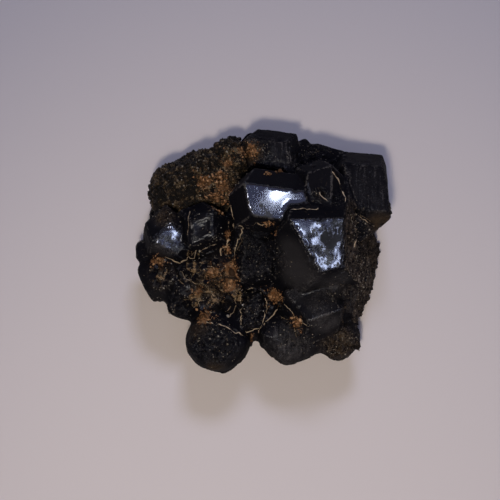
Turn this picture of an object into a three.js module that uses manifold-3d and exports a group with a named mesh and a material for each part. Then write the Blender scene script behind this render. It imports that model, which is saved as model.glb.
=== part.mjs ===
// Black garnet cluster: dodecahedral crystals grown into each other, with a patch of the granular rock
// that they grew on. Millimetres, +Z up. It rests on a broken flat face at z = 0, and the origin is the
// middle of its footprint. The two large crystals of the summit are right of the middle, the rock is the
// left back corner (-X, +Y), and the broken flank faces +X.
import * as THREE from "three";
import { ConvexGeometry } from "three/addons/geometries/ConvexGeometry.js";
import { ImprovedNoise } from "three/addons/math/ImprovedNoise.js";
import { mergeVertices } from "three/addons/utils/BufferGeometryUtils.js";
import Module from "manifold-3d";

const wasm = await Module();
wasm.setup();

// ---- driving dimensions ----------------------------------------------------------------------------

const ROOM = 200; // side of a cutting block, larger than the cluster
const ROCK_GAP = 0.3; // clearance between the crystals and the rock
const MERGE = 1e-4; // corners closer than this are one corner

// Each crystal is a dodecahedron trimmed by a trapezohedron, the two habits of garnet:
//   at      its middle
//   reach   the distance from there to its rhombic faces
//   tilt    how far its top face leans from level, and toward, the compass direction that it leans to
//   spin    the compass direction of that face's long diagonal
//   trim    how far the 24 kite faces cut the edges: 1 leaves them sharp, 0.75 leaves kites alone
//   drawn   how much it is drawn out along its edges: two directions in its top face, then two steep ones
//   shorn   a broken side: the direction that it faces and its distance from the middle

// The crystals of the summit beside the largest one.
const SUMMIT = [
  { at: [2.0, 7.8, 18.85], reach: 5.0, tilt: 16, toward: -68, spin: -42, trim: 0.985, drawn: [5.2] },
  { at: [10.2, 9.6, 19.0], reach: 4.0, tilt: 6, toward: -130, spin: -128, trim: 0.98, drawn: [2.6] },
];

// The shoulder at the right back.
const RIGHT_BLOCK = [
  {
    at: [18.0, 11.3, 10.5], reach: 6.5, tilt: 17, toward: -10, spin: 143, trim: 0.985, drawn: [0, 1.2],
    shorn: [1, 0.05, 0.12, 5.8],
  },
  { at: [17.0, 12.4, 6.0], reach: 6.0, tilt: 12, toward: 80, spin: 138, trim: 0.96, drawn: [0, 1.0] },
  { at: [15.6, 4.6, 12.5], reach: 4.0, tilt: 35, toward: -40, spin: 10, trim: 0.95 },
];

// The back edge, and the crystals that stick out of the rock.
const BACK = [
  { at: [1.3, 18.8, 10.2], reach: 4.4, tilt: 8, toward: -100, spin: -43, trim: 0.97, drawn: [2.2] },
  { at: [-1.4, 20.0, 7.8], reach: 3.6, tilt: 25, toward: 120, spin: 20, trim: 0.95 },
  { at: [10.6, 16.2, 9.6], reach: 4.0, tilt: 20, toward: 80, spin: 15, trim: 0.94, drawn: [1.8, 1.0] },
  { at: [7.4, 19.4, 8.4], reach: 2.6, tilt: 20, toward: 80, spin: 70, trim: 0.92 },
  { at: [13.6, 18.0, 8.8], reach: 2.3, tilt: 25, toward: 60, spin: 30, trim: 0.92 },
  { at: [8.0, 13.0, 8.0], reach: 5.6, tilt: 30, toward: 60, spin: 0, trim: 0.95 },
  { at: [4.6, 17.0, 4.0], reach: 4.6, tilt: 40, toward: 100, spin: 40, trim: 0.93 },
  { at: [-8.4, 9.0, 5.0], reach: 5.6, tilt: 20, toward: 100, spin: 30, trim: 0.95 },
  { at: [-12.2, 15.6, 5.4], reach: 4.5, tilt: 30, toward: 110, spin: 60, trim: 0.94 },
  { at: [-18.2, 8.4, 4.8], reach: 3.5, tilt: 35, toward: 150, spin: 100, trim: 0.93 },
];

const LEFT = [
  { at: [-11.2, 4.0, 13.4], reach: 4.2, tilt: 10, toward: -100, spin: 55, trim: 0.96 },
  { at: [-17.2, 2.6, 10.8], reach: 4.4, tilt: 22, toward: -50, spin: 10, trim: 0.96, drawn: [0, 1.6] },
  { at: [-21.8, 0.6, 8.0], reach: 2.5, tilt: 30, toward: 180, spin: 60, trim: 0.94 },
  { at: [-19.0, -4.2, 7.6], reach: 4.2, tilt: 24, toward: 40, spin: 80, trim: 0.95 },
  { at: [-15.0, -9.0, 6.6], reach: 3.3, tilt: 26, toward: -100, spin: 20, trim: 0.93 },
  { at: [-10.0, -9.6, 9.4], reach: 2.2, tilt: 15, toward: -90, spin: 10, trim: 0.9 },
  { at: [-14.6, -5.4, 3.6], reach: 3.6, tilt: 35, toward: -130, spin: 40, trim: 0.93 },
];

// Small crystals in the hollow between the left side and the summit.
const MIDDLE = [
  { at: [-1.2, 0.2, 12.4], reach: 4.4, tilt: 10, toward: -90, spin: -128, trim: 0.97, drawn: [4.4] },
  { at: [-2.0, -10.6, 8.6], reach: 2.9, tilt: 12, toward: -90, spin: -128, trim: 0.88, drawn: [2.4] },
  { at: [-9.5, -3.6, 9.8], reach: 3.6, tilt: 18, toward: -120, spin: 20, trim: 0.94 },
  { at: [-14.0, -3.4, 10.2], reach: 2.6, tilt: 22, toward: -80, spin: 60, trim: 0.94 },
  { at: [-6.0, -7.0, 9.6], reach: 2.6, tilt: 14, toward: -60, spin: 35, trim: 0.92 },
];

// The round lobes that overhang the front edge.
const FRONT = [
  { at: [-8.6, -16.5, 6.4], reach: 5.3, tilt: 20, toward: -80, spin: 10, trim: 0.86, drawn: [0.8, 1.2] },
  { at: [5.4, -15.0, 6.4], reach: 4.7, tilt: 24, toward: -80, spin: -10, trim: 0.9, drawn: [2.2, 1.6] },
  { at: [14.2, -15.9, 6.0], reach: 3.7, tilt: 20, toward: -80, spin: 5, trim: 0.86, drawn: [0.8, 0.6] },
  { at: [-4.4, -14.0, 3.2], reach: 3.2, tilt: 35, toward: -70, spin: 30, trim: 0.93 },
];

// The crystals that the broken flank cuts through; the first is the large one of the summit.
const CUT_BY_FLANK = [
  {
    at: [10.3, 1.7, 12.6], reach: 9.6, tilt: 17.4, toward: -54, spin: -22, trim: 0.985,
    drawn: [0, 0, 0, 4.0], shorn: [0.11, 0.53, 0.84, 11.3],
  },
  { at: [9.5, -10.4, 10.5], reach: 5.4, tilt: 6.5, toward: 128, spin: -16, trim: 0.98, drawn: [0, 0.6] },
  { at: [12.6, -4.6, 5.6], reach: 9.0, tilt: 40, toward: -30, spin: 30, trim: 0.97 },
  { at: [11.6, 8.0, 6.6], reach: 7.8, tilt: 15, toward: 60, spin: 50, trim: 0.97 },
  { at: [15.0, -0.4, 4.8], reach: 8.4, tilt: 12, toward: 0, spin: 45, trim: 0.98 },
];

// Large crystals inside and below, which the others stand on.
const CORE = [
  { at: [0.0, 2.4, 6.8], reach: 8.8, tilt: 25, toward: 20, spin: 0, trim: 0.97 },
  { at: [-9.6, -2.6, 5.0], reach: 7.8, tilt: 33, toward: 160, spin: 70, trim: 0.97 },
  { at: [-2.0, -10.0, 4.2], reach: 5.4, tilt: 20, toward: -100, spin: 20, trim: 0.95 },
  { at: [-9.0, 5.6, 9.0], reach: 2.0, tilt: 0, toward: 0, spin: 0, trim: 1 },
];

// The broken flank: rough planes that take the outer side off the summit crystal and its neighbours.
const FLANK = [
  { through: [14.9, 3.0, 22.0], facing: [0.935, -0.05, 0.35] },
  { through: [15.9, -11.2, 15.0], facing: [0.92, -0.32, 0.24] },
  { through: [22.3, -1.0, 4.0], facing: [0.965, -0.262, 0.0] },
  { through: [20.2, 4.0, 10.0], facing: [0.93, 0.22, 0.3] },
];

// The rock: three lumpy boulders in a row, which fill the left back corner.
const ROCK = [
  { at: [-14.2, 11.4, 6.0], radii: [7.8, 8.0, 8.6] },
  { at: [-9.6, 13.4, 6.6], radii: [8.0, 7.6, 8.8] },
  { at: [-5.2, 17.6, 6.2], radii: [6.0, 5.6, 8.2] },
];
const LUMPS = 0.16; // height of the rock's lumps, as a share of its radius
const LUMP_SIZE = 5.0;
const ROCK_DETAIL = 9; // times that each edge of the icosahedron is divided

// ---- solids ----------------------------------------------------------------------------------------

// A closed three.js geometry as a solid that can be joined and cut.
function solid(geometry) {
  let bare = geometry.clone();
  bare.deleteAttribute("normal");
  bare.deleteAttribute("uv");
  bare = mergeVertices(bare, MERGE);
  const vertProperties = new Float32Array(bare.getAttribute("position").array);
  const triVerts = new Uint32Array(bare.getIndex().array);
  return new wasm.Manifold(new wasm.Mesh({ numProp: 3, vertProperties, triVerts }));
}

// A solid back as a three.js mesh, moved so that the cluster's own origin is at 0.
function named(name, body, material, shift) {
  const { vertProperties, triVerts } = body.getMesh();
  const geometry = new THREE.BufferGeometry();
  geometry.setAttribute("position", new THREE.BufferAttribute(new Float32Array(vertProperties), 3));
  geometry.setIndex(new THREE.BufferAttribute(new Uint32Array(triVerts), 1));
  geometry.translate(shift.x, shift.y, shift.z);
  geometry.computeVertexNormals();
  const mesh = new THREE.Mesh(geometry, material);
  mesh.name = name;
  return mesh;
}

// All the corners that come from one by changing signs and the order of its coordinates.
function corners(a, b, c) {
  const found = new Map();
  for (const [x, y, z] of [[a, b, c], [b, c, a], [c, a, b], [a, c, b], [c, b, a], [b, a, c]]) {
    for (const sx of [1, -1]) {
      for (const sy of [1, -1]) {
        for (const sz of [1, -1]) {
          const corner = new THREE.Vector3(sx * x, sy * y, sz * z);
          const key = corner.toArray().map((v) => v.toFixed(6).replace("-0.000000", "0.000000")).join();
          found.set(key, corner);
        }
      }
    }
  }
  return [...found.values()];
}

// The dodecahedron whose rhombic faces are `reach` from its middle.
function dodecahedronCorners(reach) {
  const s = reach / Math.SQRT2;
  return [...corners(s, s, s), ...corners(2 * s, 0, 0)];
}

// The trapezohedron whose kite faces are `reach` from its middle.
function trapezohedronCorners(reach) {
  const s = reach * Math.sqrt(6);
  return [...corners(s / 2, 0, 0), ...corners(s / 3, s / 3, 0), ...corners(s / 4, s / 4, s / 4)];
}

const EDGES = [[1, -1, -1], [1, -1, 1], [1, 1, 1], [1, 1, -1]]
  .map((edge) => new THREE.Vector3(...edge).normalize());
const EDGE_REACH = 2 / Math.sqrt(3); // distance to a dodecahedron's edge, for faces at 1

// The convex solid with these corners, drawn out along the crystal's edge directions.
function drawnHull(points, drawn) {
  let swept = points;
  drawn.forEach((length, i) => {
    if (length) {
      const half = EDGES[i].clone().multiplyScalar(length / 2);
      swept = swept.flatMap((point) => [point.clone().add(half), point.clone().sub(half)]);
    }
  });
  return new ConvexGeometry(swept);
}

// The turn that takes a crystal's own axes to its place: the (110) face on top leans by `tilt`.
function crystalTurn({ tilt, toward, spin }) {
  const lean = THREE.MathUtils.degToRad(tilt);
  const compass = THREE.MathUtils.degToRad(toward);
  const along = THREE.MathUtils.degToRad(spin);
  const up = new THREE.Vector3(
    Math.sin(lean) * Math.cos(compass), Math.sin(lean) * Math.sin(compass), Math.cos(lean));
  const long = new THREE.Vector3(Math.cos(along), Math.sin(along), 0);
  long.z = -long.dot(up) / up.z;
  long.normalize();
  const across = new THREE.Vector3().crossVectors(up, long);
  const world = new THREE.Matrix4().makeBasis(long, up, across.negate());
  const ownLong = new THREE.Vector3(1, -1, 0).normalize();
  const ownUp = new THREE.Vector3(1, 1, 0).normalize();
  const own = new THREE.Matrix4().makeBasis(ownLong, ownUp, new THREE.Vector3(0, 0, 1));
  return world.multiply(own.transpose());
}

// One garnet crystal; `extra` moves all its faces outwards.
function crystal(spec, extra = 0) {
  const reach = spec.reach + extra;
  const drawn = spec.drawn ?? [];
  const place = crystalTurn(spec).setPosition(...spec.at);
  const trimReach = reach * EDGE_REACH * spec.trim;
  const rhombs = drawnHull(dodecahedronCorners(reach), drawn).applyMatrix4(place);
  const kites = drawnHull(trapezohedronCorners(trimReach), drawn).applyMatrix4(place);
  const grown = solid(rhombs).intersect(solid(kites));
  if (!spec.shorn) {
    return grown;
  }
  const [x, y, z, distance] = spec.shorn;
  const facing = new THREE.Vector3(x, y, z).normalize();
  const through = new THREE.Vector3(...spec.at).addScaledVector(facing, distance);
  return grown.subtract(beyond({ through: through.toArray(), facing: facing.toArray() }, extra));
}

// All these crystals as one solid.
function grownTogether(specs, extra = 0) {
  return specs.map((spec) => crystal(spec, extra)).reduce((whole, one) => whole.add(one));
}

// A cutting block on the side that the plane faces.
function beyond({ through, facing }, extra = 0) {
  const outward = new THREE.Vector3(...facing).normalize();
  const turn = new THREE.Quaternion().setFromUnitVectors(new THREE.Vector3(0, 0, 1), outward);
  const middle = new THREE.Vector3(...through).addScaledVector(outward, ROOM / 2 + extra);
  const block = new THREE.BoxGeometry(ROOM, ROOM, ROOM);
  block.applyQuaternion(turn);
  block.translate(middle.x, middle.y, middle.z);
  return solid(block);
}

// ---- the garnets -----------------------------------------------------------------------------------

const FLOOR = { through: [0, 0, 0], facing: [0, 0, -1] };

function garnets(extra = 0) {
  let broken = grownTogether(CUT_BY_FLANK, extra);
  for (const plane of FLANK) {
    broken = broken.subtract(beyond(plane, extra));
  }
  const others = [SUMMIT, RIGHT_BLOCK, BACK, LEFT, MIDDLE, FRONT, CORE].flat();
  return broken.add(grownTogether(others, extra));
}

// ---- the rock --------------------------------------------------------------------------------------

function boulder({ at, radii }) {
  const noise = new ImprovedNoise();
  const ball = mergeVertices(new THREE.IcosahedronGeometry(1, ROCK_DETAIL).deleteAttribute("normal")
    .deleteAttribute("uv"), MERGE);
  const position = ball.getAttribute("position");
  const spread = new THREE.Vector3(...radii);
  const middle = new THREE.Vector3(...at);
  const point = new THREE.Vector3();
  for (let i = 0; i < position.count; i += 1) {
    point.fromBufferAttribute(position, i).multiply(spread);
    const spot = point.clone().add(middle).divideScalar(LUMP_SIZE);
    const swell = noise.noise(spot.x, spot.y, spot.z) + 0.5 * noise.noise(2 * spot.x, 2 * spot.y, 2 * spot.z);
    point.multiplyScalar(1 + LUMPS * swell).add(middle);
    position.setXYZ(i, point.x, point.y, point.z);
  }
  return solid(ball);
}

function rock() {
  return ROCK.map(boulder).reduce((whole, one) => whole.add(one));
}

// ---- the cluster -----------------------------------------------------------------------------------

const garnetBody = garnets().subtract(beyond(FLOOR));
const rockBody = rock().subtract(garnets(ROCK_GAP)).subtract(beyond(FLOOR));

const garnetMaterial = new THREE.MeshStandardMaterial({ color: 0x17161c, roughness: 0.22, metalness: 0.0 });
const rockMaterial = new THREE.MeshStandardMaterial({ color: 0x3a3022, roughness: 0.85, metalness: 0.0 });

// The origin goes to the middle of the footprint, on the floor.
function footprintMiddle(bodies) {
  const box = new THREE.Box3();
  for (const body of bodies) {
    box.union(new THREE.Box3().setFromArray(body.getMesh().vertProperties));
  }
  return box.getCenter(new THREE.Vector3()).setZ(box.min.z);
}

const cluster = new THREE.Group();
const shift = footprintMiddle([garnetBody, rockBody]).negate();
cluster.add(named("garnet_cluster", garnetBody, garnetMaterial, shift));
cluster.add(named("matrix", rockBody, rockMaterial, shift));

export default cluster;
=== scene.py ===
"""The surfaces, earth, grains and stage of a cluster of black garnets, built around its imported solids."""

import math
from itertools import product

import bmesh
import bpy
import numpy as np
from bpy.props import FloatProperty, FloatVectorProperty, IntProperty, PointerProperty
from mathutils import Matrix, Vector
from mathutils.bvhtree import BVHTree
from mathutils.kdtree import KDTree


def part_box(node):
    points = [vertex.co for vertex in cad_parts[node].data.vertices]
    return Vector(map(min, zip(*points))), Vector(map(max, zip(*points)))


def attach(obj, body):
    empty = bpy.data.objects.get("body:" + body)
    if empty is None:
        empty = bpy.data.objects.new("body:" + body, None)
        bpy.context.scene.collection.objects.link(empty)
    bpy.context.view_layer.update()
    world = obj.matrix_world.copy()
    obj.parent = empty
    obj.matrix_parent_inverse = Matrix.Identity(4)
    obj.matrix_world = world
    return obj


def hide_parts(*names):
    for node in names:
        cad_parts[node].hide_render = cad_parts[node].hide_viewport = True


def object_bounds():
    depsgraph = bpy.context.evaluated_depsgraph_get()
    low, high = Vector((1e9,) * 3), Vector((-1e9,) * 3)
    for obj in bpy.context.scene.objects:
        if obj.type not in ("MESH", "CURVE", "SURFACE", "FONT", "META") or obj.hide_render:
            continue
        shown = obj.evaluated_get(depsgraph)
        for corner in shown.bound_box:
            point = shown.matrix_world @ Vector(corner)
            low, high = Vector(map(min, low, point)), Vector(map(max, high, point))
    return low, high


bl_info = {
    "name": "Garnet Cluster",
    "version": (1, 0, 0),
    "blender": (4, 5, 0),
    "location": "3D View > Sidebar > Garnet",
    "description": "Builds the surfaces of a cluster of black garnets on its rock",
    "category": "Object",
}

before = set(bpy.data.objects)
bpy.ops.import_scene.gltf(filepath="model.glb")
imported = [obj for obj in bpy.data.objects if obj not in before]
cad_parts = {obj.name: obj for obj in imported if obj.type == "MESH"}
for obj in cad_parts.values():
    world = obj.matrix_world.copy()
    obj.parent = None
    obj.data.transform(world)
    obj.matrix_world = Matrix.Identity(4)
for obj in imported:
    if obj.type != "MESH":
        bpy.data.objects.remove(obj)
CAD_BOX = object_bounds()

GARNET = "garnet_cluster"
ROCK = "matrix"
BODY = "root"
MM = 0.001
FOOT = 0.02  # points lower than this stay on the foot

# Every place below is in millimetres from the middle of the foot: (x, y, z, how far it reaches).
# The hollow of small crystals, with walls of brown dirt between them.
GRANULAR = [
    (-10.9, -5.5, 13.3, 4.8), (-13.7, -3.5, 13, 4), (-9, -8.5, 11.4, 3.8), (-13, -9, 9.5, 3.4),
    (-19.4, -5.3, 12.2, 3.2), (-4.5, -9, 11, 3), (7, -12.5, 12.5, 2.4),
]
# Faces with pits and small broken slabs, and faces with fine parallel lines.
PITTED = [
    (-1.1, -2, 16.8, 7), (-2.2, -11.8, 11.5, 4.6), (-9.2, -17.5, 10.5, 6), (9.2, 16.9, 13.4, 4.8),
    (16.8, 3.3, 17, 5), (10.1, 7.6, 22.9, 2.2), (6, -16, 11, 4), (14.4, -17.5, 8.8, 4.6),
    (-15.7, -11.2, 9.5, 3.4), (-0.5, 18.5, 13.5, 3), (13.5, 6.5, 21.5, 2.4), (-18.4, 5.7, 14.4, 3),
]
STRIATED = [(3.1, 17.2, 14.6, 5), (19.8, 11, 16.6, 7), (4, -18.2, 10.4, 6.5), (13.5, -18, 8.8, 4)]
# Faces that mirror the light; on them, spots eaten dull by weathering and spots left bright.
SHINY = [(10, -1.5, 23.8, 9), (2, 7, 24, 8), (-17.4, 2.4, 15.7, 4.2)]
ETCHED = [(11.4, -0.4, 23.2, 2.7), (13, 1, 22.8, 2.4), (-0.4, 4.2, 23.4, 3.4), (7, 5.2, 23.8, 1.6)]
POLISHED = [
    (7.3, -1.4, 24.3, 1.1), (8.3, -3.2, 24, 1.3), (9.4, -4.8, 23.4, 1.4), (13.2, -2.8, 22.9, 1.4),
    (11.6, -5.4, 22.5, 1.2), (-17, 2.8, 15.8, 1.6),
]
# The flattest faces, and one with steps like a nest of squares.
FLAT = [(2.4, 7, 24, 9.5), (4.4, -4.2, 18.6, 5), (5.6, -2, 21.2, 3.4)]
NESTED = [(-10.9, 3.8, 17.4, 3.4)]
# Crystals rounded by wear, and lobes whose tips are worn blunt.
WORN = [
    (-8.6, -17.2, 6.4, 8.8), (14.4, -17, 6, 6.8), (5.4, -16.5, 6.4, 6.4), (-2.2, -11.8, 8.6, 5),
    (-20.5, -4.8, 8, 5.5), (-15.5, -10, 6.5, 5.5),
]
BLUNT = [(-7.3, -22.8, 5, 4), (3.2, -22, 5, 3.4)]
# A thin grey film dulls these places; the last number is how strong it is.
FILM = [
    (11.3, -14.6, 14.6, 3.6, 0.9), (5, -18.5, 10.4, 6, 0.6), (12.8, -7.4, 17.2, 4.6, 0.75),
    (-18.9, -1.2, 14.7, 3.4, 0.6), (-19.4, -5.3, 12.2, 4, 0.45), (19.8, 10, 16.6, 6.5, 0.20),
    (3.4, 17.2, 14.6, 4, 0.18), (14.4, -18.1, 8.8, 5.6, 0.7), (-18.4, 5.7, 14.4, 3.6, 0.6),
    (21.8, 4, 13.5, 4.5, 0.8), (10.3, -11, 15.7, 4, 0.4), (6, -6.5, 19, 6.8, 0.80),
    (5.4, -2.4, 20.8, 4.6, 0.60), (-9.5, -6.5, 12, 6.5, 0.7), (-2.4, 17.8, 14.5, 3.6, 0.9),
    (-11.6, -15.4, 9.6, 3.4, 0.5), (-9, -21.4, 8, 3, 0.6),
]
# Places whose film is warm brown.
BROWN = [
    (-2.4, 17.8, 14.5, 3.6), (-11.6, -15.4, 9.6, 5), (-9, -21, 8, 4), (-19.4, -5.3, 12.2, 4.5),
    (-18.4, 5.7, 14.4, 3.6), (21.8, 4, 13.5, 4.5), (14.4, -18.1, 8.8, 6), (-9.5, -6.5, 12, 8),
    (-2.2, -11.8, 11, 2.5),
]
# Earth lies at these places, thickest at their middles: first on the crystals, then on the rock.
EARTH = [
    (-6.8, 7.6, 18.2, 2.4), (-5.9, -4.3, 13, 2.6), (-6.3, -7.4, 12.2, 2.3), (2.4, -8.7, 9.6, 3),
    (6.4, -14.2, 12.8, 2.3), (-3.1, -15.9, 6.4, 1.8), (-11, -13.3, 9.6, 2.3), (0.9, 1.8, 21.6, 1.4),
    (-19.8, -2.7, 11.7, 1.8), (-6.8, 2, 14, 1.2), (-6.8, -0.6, 13.6, 1.4), (2.2, 12.3, 19.8, 1.2),
    (-9.5, -5, 13.2, 2), (-12.5, -8, 11, 1.6), (-6.8, 8.8, 14.8, 2.8), (-6.6, 7.4, 16.6, 2),
    (1, 11.9, 21.4, 1), (-2.4, 18, 14.4, 2.2),
]
ROCK_EARTH = [
    (-4, 18.6, 13.4, 2.4), (-6.7, 15.8, 13.8, 2.8), (-11, 12, 14.8, 2.8), (-7.4, 11.2, 14.8, 2.8),
    (-9, 9, 14.8, 2.2), (-8, 13.5, 14.5, 2.6),
]
# Pale specks lie round these places.
SPECKLED = [
    (-1.1, -2.8, 16.5, 6), (-10.9, -5.5, 13.3, 6), (-2.2, -11.8, 11.5, 4), (-9, -17, 10.5, 5),
    (9.2, 16.9, 13.4, 4), (16.8, 3.3, 17, 4), (6, -15.5, 11.5, 4), (17.5, -4.6, 14, 7), (-17, -8, 10.5, 5),
    (12.2, -9.9, 15.7, 2), (-0.1, 17.8, 14.6, 2.4), (14.4, -18.1, 8.8, 4.5), (-12, 14, 15, 8),
    (10.3, 7.8, 23, 1.6), (-18, 6, 14, 3), (-9.5, 1, 15, 3),
]
# Thin pale films fill the seams where crystals meet, round these places.
SEAMED = [
    (-9, -7.5, 11, 8), (-1.5, -11.5, 9, 6), (-7.5, 2.5, 15.5, 5.5), (8.5, -14.5, 12, 5.5), (17.5, 2.5, 16, 5),
    (-15.5, -4, 11, 6),
]
# More films run across faces: half their width, and the places they run through.
SEAMS = [
    (0.12, [(-13.9, 6.3, 15.6), (-14, 3.8, 17), (-14.2, 1.6, 16.3)]),
    (0.26, [(-6.4, 6.3, 19.5), (-6.2, 4, 18.2), (-6.6, 2.2, 14.2), (-7, 0, 13.5), (-7.8, -1.6, 12.9)]),
    (0.13, [(-4.4, 1.6, 19.8), (-4.8, 0.6, 16.2), (-5.3, -1, 14.7), (-5.6, -2.5, 13.6)]),
    (0.13, [(-4.2, 1.9, 20.3), (-2.2, 1.6, 20.9), (0.4, 1.6, 21.7)]),
    (0.13, [(4.6, 4.8, 23.9), (7, 5, 24.1), (9.5, 5.4, 24)]),
    (0.17, [(12.3, 12, 23), (13.3, 11.4, 22.1), (14.1, 10.2, 20.7), (14.6, 8, 20.5), (14.8, 6.4, 21.5)]),
    (0.14, [(17.9, 5.1, 16.3), (19.2, 4.4, 15.1), (21, 3.3, 11.9)]),
    (0.11, [(-3.3, -7.6, 10.8), (-0.3, -8, 10.6), (0.7, -10.7, 10.3), (0.2, -13, 10), (-0.6, -14.9, 9.4)]),
    (0.11, [(-0.6, -14.9, 9.4), (-2.9, -15.9, 8.9), (-4.3, -13.5, 9.9), (-4.4, -9.8, 10.6),
            (-3.3, -7.6, 10.8)]),
    (0.13, [(-0.8, -15.6, 7.8), (0.1, -14.4, 9.4), (1.4, -12.9, 9.8), (2.6, -11.3, 9.4)]),
    (0.14, [(-11, -14, 10.8), (-9.1, -14.2, 11.3), (-6.6, -15.1, 11.3), (-4.4, -16, 10.8), (-3, -16.6, 9.2)]),
    (0.12, [(-5.2, -9.5, 11.4), (-5.8, -11.1, 9.2), (-6.7, -12.7, 9.7)]),
    (0.12, [(-12.2, -9.4, 10.7), (-12.3, -10.8, 10.4), (-11.2, -12, 10.4), (-9.6, -12.2, 10.8)]),
    (0.09, [(3.6, -10.6, 12.7), (4.9, -12, 13.4), (6.2, -13.7, 13.5), (8.5, -15.2, 14.6)]),
    (0.13, [(-18.5, -2, 12.1), (-15.7, -2.8, 12.3), (-11.9, -1.2, 13.9), (-9, -0.1, 14.9)]),
    (0.07, [(-15.6, -4.4, 12.5), (-13.4, -6.3, 12.6), (-11, -7.7, 11.7), (-9.3, -9.1, 11.2)]),
    (0.07, [(-11.9, -2.9, 12.8), (-9.6, -4.2, 14), (-7.8, -5.4, 13.2)]),
    (0.14, [(16.1, 4.2, 19.1), (17.1, 2.1, 16.3), (16.6, -0.9, 17.4)]),
    (0.14, [(10.1, 8.2, 22.9), (11.4, 6.6, 23)]),
]
FLANK_FACING = Vector((0.90, -0.14, 0.42)).normalized()


def smooth(value):
    """A ramp from 0 to 1 with soft ends."""
    value = np.clip(value, 0, 1)
    return value * value * (3 - 2 * value)


AHEAD = 4096  # keeps the numbers of cells positive


def unit_hash(cells, seed):
    """A fixed pseudo-random number from 0 to 1 for each whole-number cell."""
    mixed = cells.astype(np.uint64) & np.uint64(0xFFFFFFFF)
    primes = np.array((73856093, 19349663, 83492791), np.uint64)
    total = (mixed * primes).sum(-1) + np.uint64(seed * 2654435761 % 4294967291)
    for shift in (15, 13, 16):
        total ^= total >> np.uint64(shift)
        total = (total * np.uint64(2246822519)) & np.uint64(0xFFFFFFFFFF)
    return (total & np.uint64(0xFFFFFF)).astype(float) / 0xFFFFFF


def wander(points, size, seed, octaves=1):
    """Smooth noise from about -1 to 1, with features of a size in millimetres."""
    total = np.zeros(len(points))
    for octave in range(octaves):
        scaled = points / size * 2**octave + 31.7
        cell = np.floor(scaled)
        share = scaled - cell
        share = share * share * (3 - 2 * share)
        for corner in product((0, 1), repeat=3):
            weight = np.prod(np.where(corner, share, 1 - share), axis=1)
            total += weight * (unit_hash(cell + corner + AHEAD, seed + octave) * 2 - 1) / 2**octave
    return total


def cells(points, size, seed):
    """Splits space into cells round scattered points.

    Gives the distance to the nearest scattered point and to the second nearest, a number from 0 to 1 for
    the cell, and the height of a flat facet tilted about the cell's middle; all in units of size.
    """
    scaled = points / size + 57.3
    home = np.floor(scaled)
    first = np.full(len(points), 9.0)
    second = np.full(len(points), 9.0)
    tag = np.zeros(len(points))
    facet = np.zeros(len(points))
    for offset in product((-1, 0, 1), repeat=3):
        cell = home + offset + AHEAD
        spot = np.stack([unit_hash(cell, seed + axis) for axis in (11, 12, 13)], 1) + home + offset
        away = scaled - spot
        distance = np.linalg.norm(away, axis=1)
        closer = distance < first
        second = np.where(closer, first, np.minimum(second, distance))
        tag = np.where(closer, unit_hash(cell, seed + 14), tag)
        tilt = np.stack([unit_hash(cell, seed + axis) for axis in (15, 16, 17)], 1) * 2 - 1
        facet = np.where(closer, (away * tilt).sum(1), facet)
        first = np.where(closer, distance, first)
    return first, second, tag, facet


def near(points, places, soft=0.45):
    """How much each point belongs to a group of places: 1 well inside one of them, 0 outside."""
    weight = np.zeros(len(points))
    for x, y, z, reach in places:
        away = np.linalg.norm(points - (x, y, z), axis=1) / reach
        weight = np.maximum(weight, (1 - away) / soft)
    return smooth(weight)


def search_tree(places):
    """A tree that finds the closest of these places."""
    tree = KDTree(len(places))
    for i, place in enumerate(places):
        tree.insert(place, i)
    tree.balance()
    return tree


class Solid:
    """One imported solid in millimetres: its flat faces, and the creases where they meet."""

    CREASE = math.radians(14)
    STEP = 0.1

    def __init__(self, node):
        self.bm = bmesh.new()
        self.bm.from_mesh(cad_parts[node].data)
        bmesh.ops.remove_doubles(self.bm, verts=self.bm.verts, dist=1e-7)
        bmesh.ops.scale(self.bm, vec=(1 / MM,) * 3, verts=self.bm.verts)
        self.bm.normal_update()
        self.bm.faces.ensure_lookup_table()
        self.tree = BVHTree.FromBMesh(self.bm)
        self.face_tag = self.flat_faces()
        self.seams = []
        self.proud, self.sunk = self.creases()

    def flat_faces(self):
        """A pseudo-random number from 0 to 1 for each triangle, the same across a flat face."""
        tag = np.full(len(self.bm.faces), -1.0)
        for face in self.bm.faces:
            if tag[face.index] >= 0:
                continue
            where = np.round(np.array(face.normal) * 40 + face.normal.dot(face.verts[0].co)).reshape(1, 3)
            number = unit_hash(where + AHEAD, 5)[0]
            stack = [face]
            tag[face.index] = number
            while stack:
                for edge in stack.pop().edges:
                    for other in edge.link_faces:
                        if tag[other.index] < 0 and other.normal.dot(face.normal) > 0.9995:
                            tag[other.index] = number
                            stack.append(other)
        return tag

    def creases(self):
        """Points along the edges that stand out and along those that lie in a groove, as two search trees."""
        found = ([], [])
        for edge in self.bm.edges:
            angle = edge.calc_face_angle_signed(0)
            if abs(angle) < self.CREASE:
                continue
            start, end = (vert.co for vert in edge.verts)
            if angle < 0 and edge.calc_length() > 0.5:
                self.seams.append(np.array([start, end]))
            steps = max(1, int(edge.calc_length() / self.STEP))
            found[angle < 0].extend(start.lerp(end, i / steps) for i in range(steps + 1))
        return [search_tree(places) for places in found]

    def nearest(self, points):
        """For each point: the closest point on the solid, the normal there and the face's number."""
        places, normals, tags = np.empty_like(points), np.empty_like(points), np.empty(len(points))
        for i, point in enumerate(points):
            place, normal, triangle, _ = self.tree.find_nearest(point)
            places[i] = place
            normals[i] = normal
            tags[i] = self.face_tag[triangle]
        return places, normals, tags

    @staticmethod
    def to_crease(points, tree):
        """For each point: the closest crease point and how far it is."""
        places, away = np.empty_like(points), np.empty(len(points))
        for i, point in enumerate(points):
            place, _, distance = tree.find(point)
            places[i] = place
            away[i] = distance
        return places, away


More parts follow.
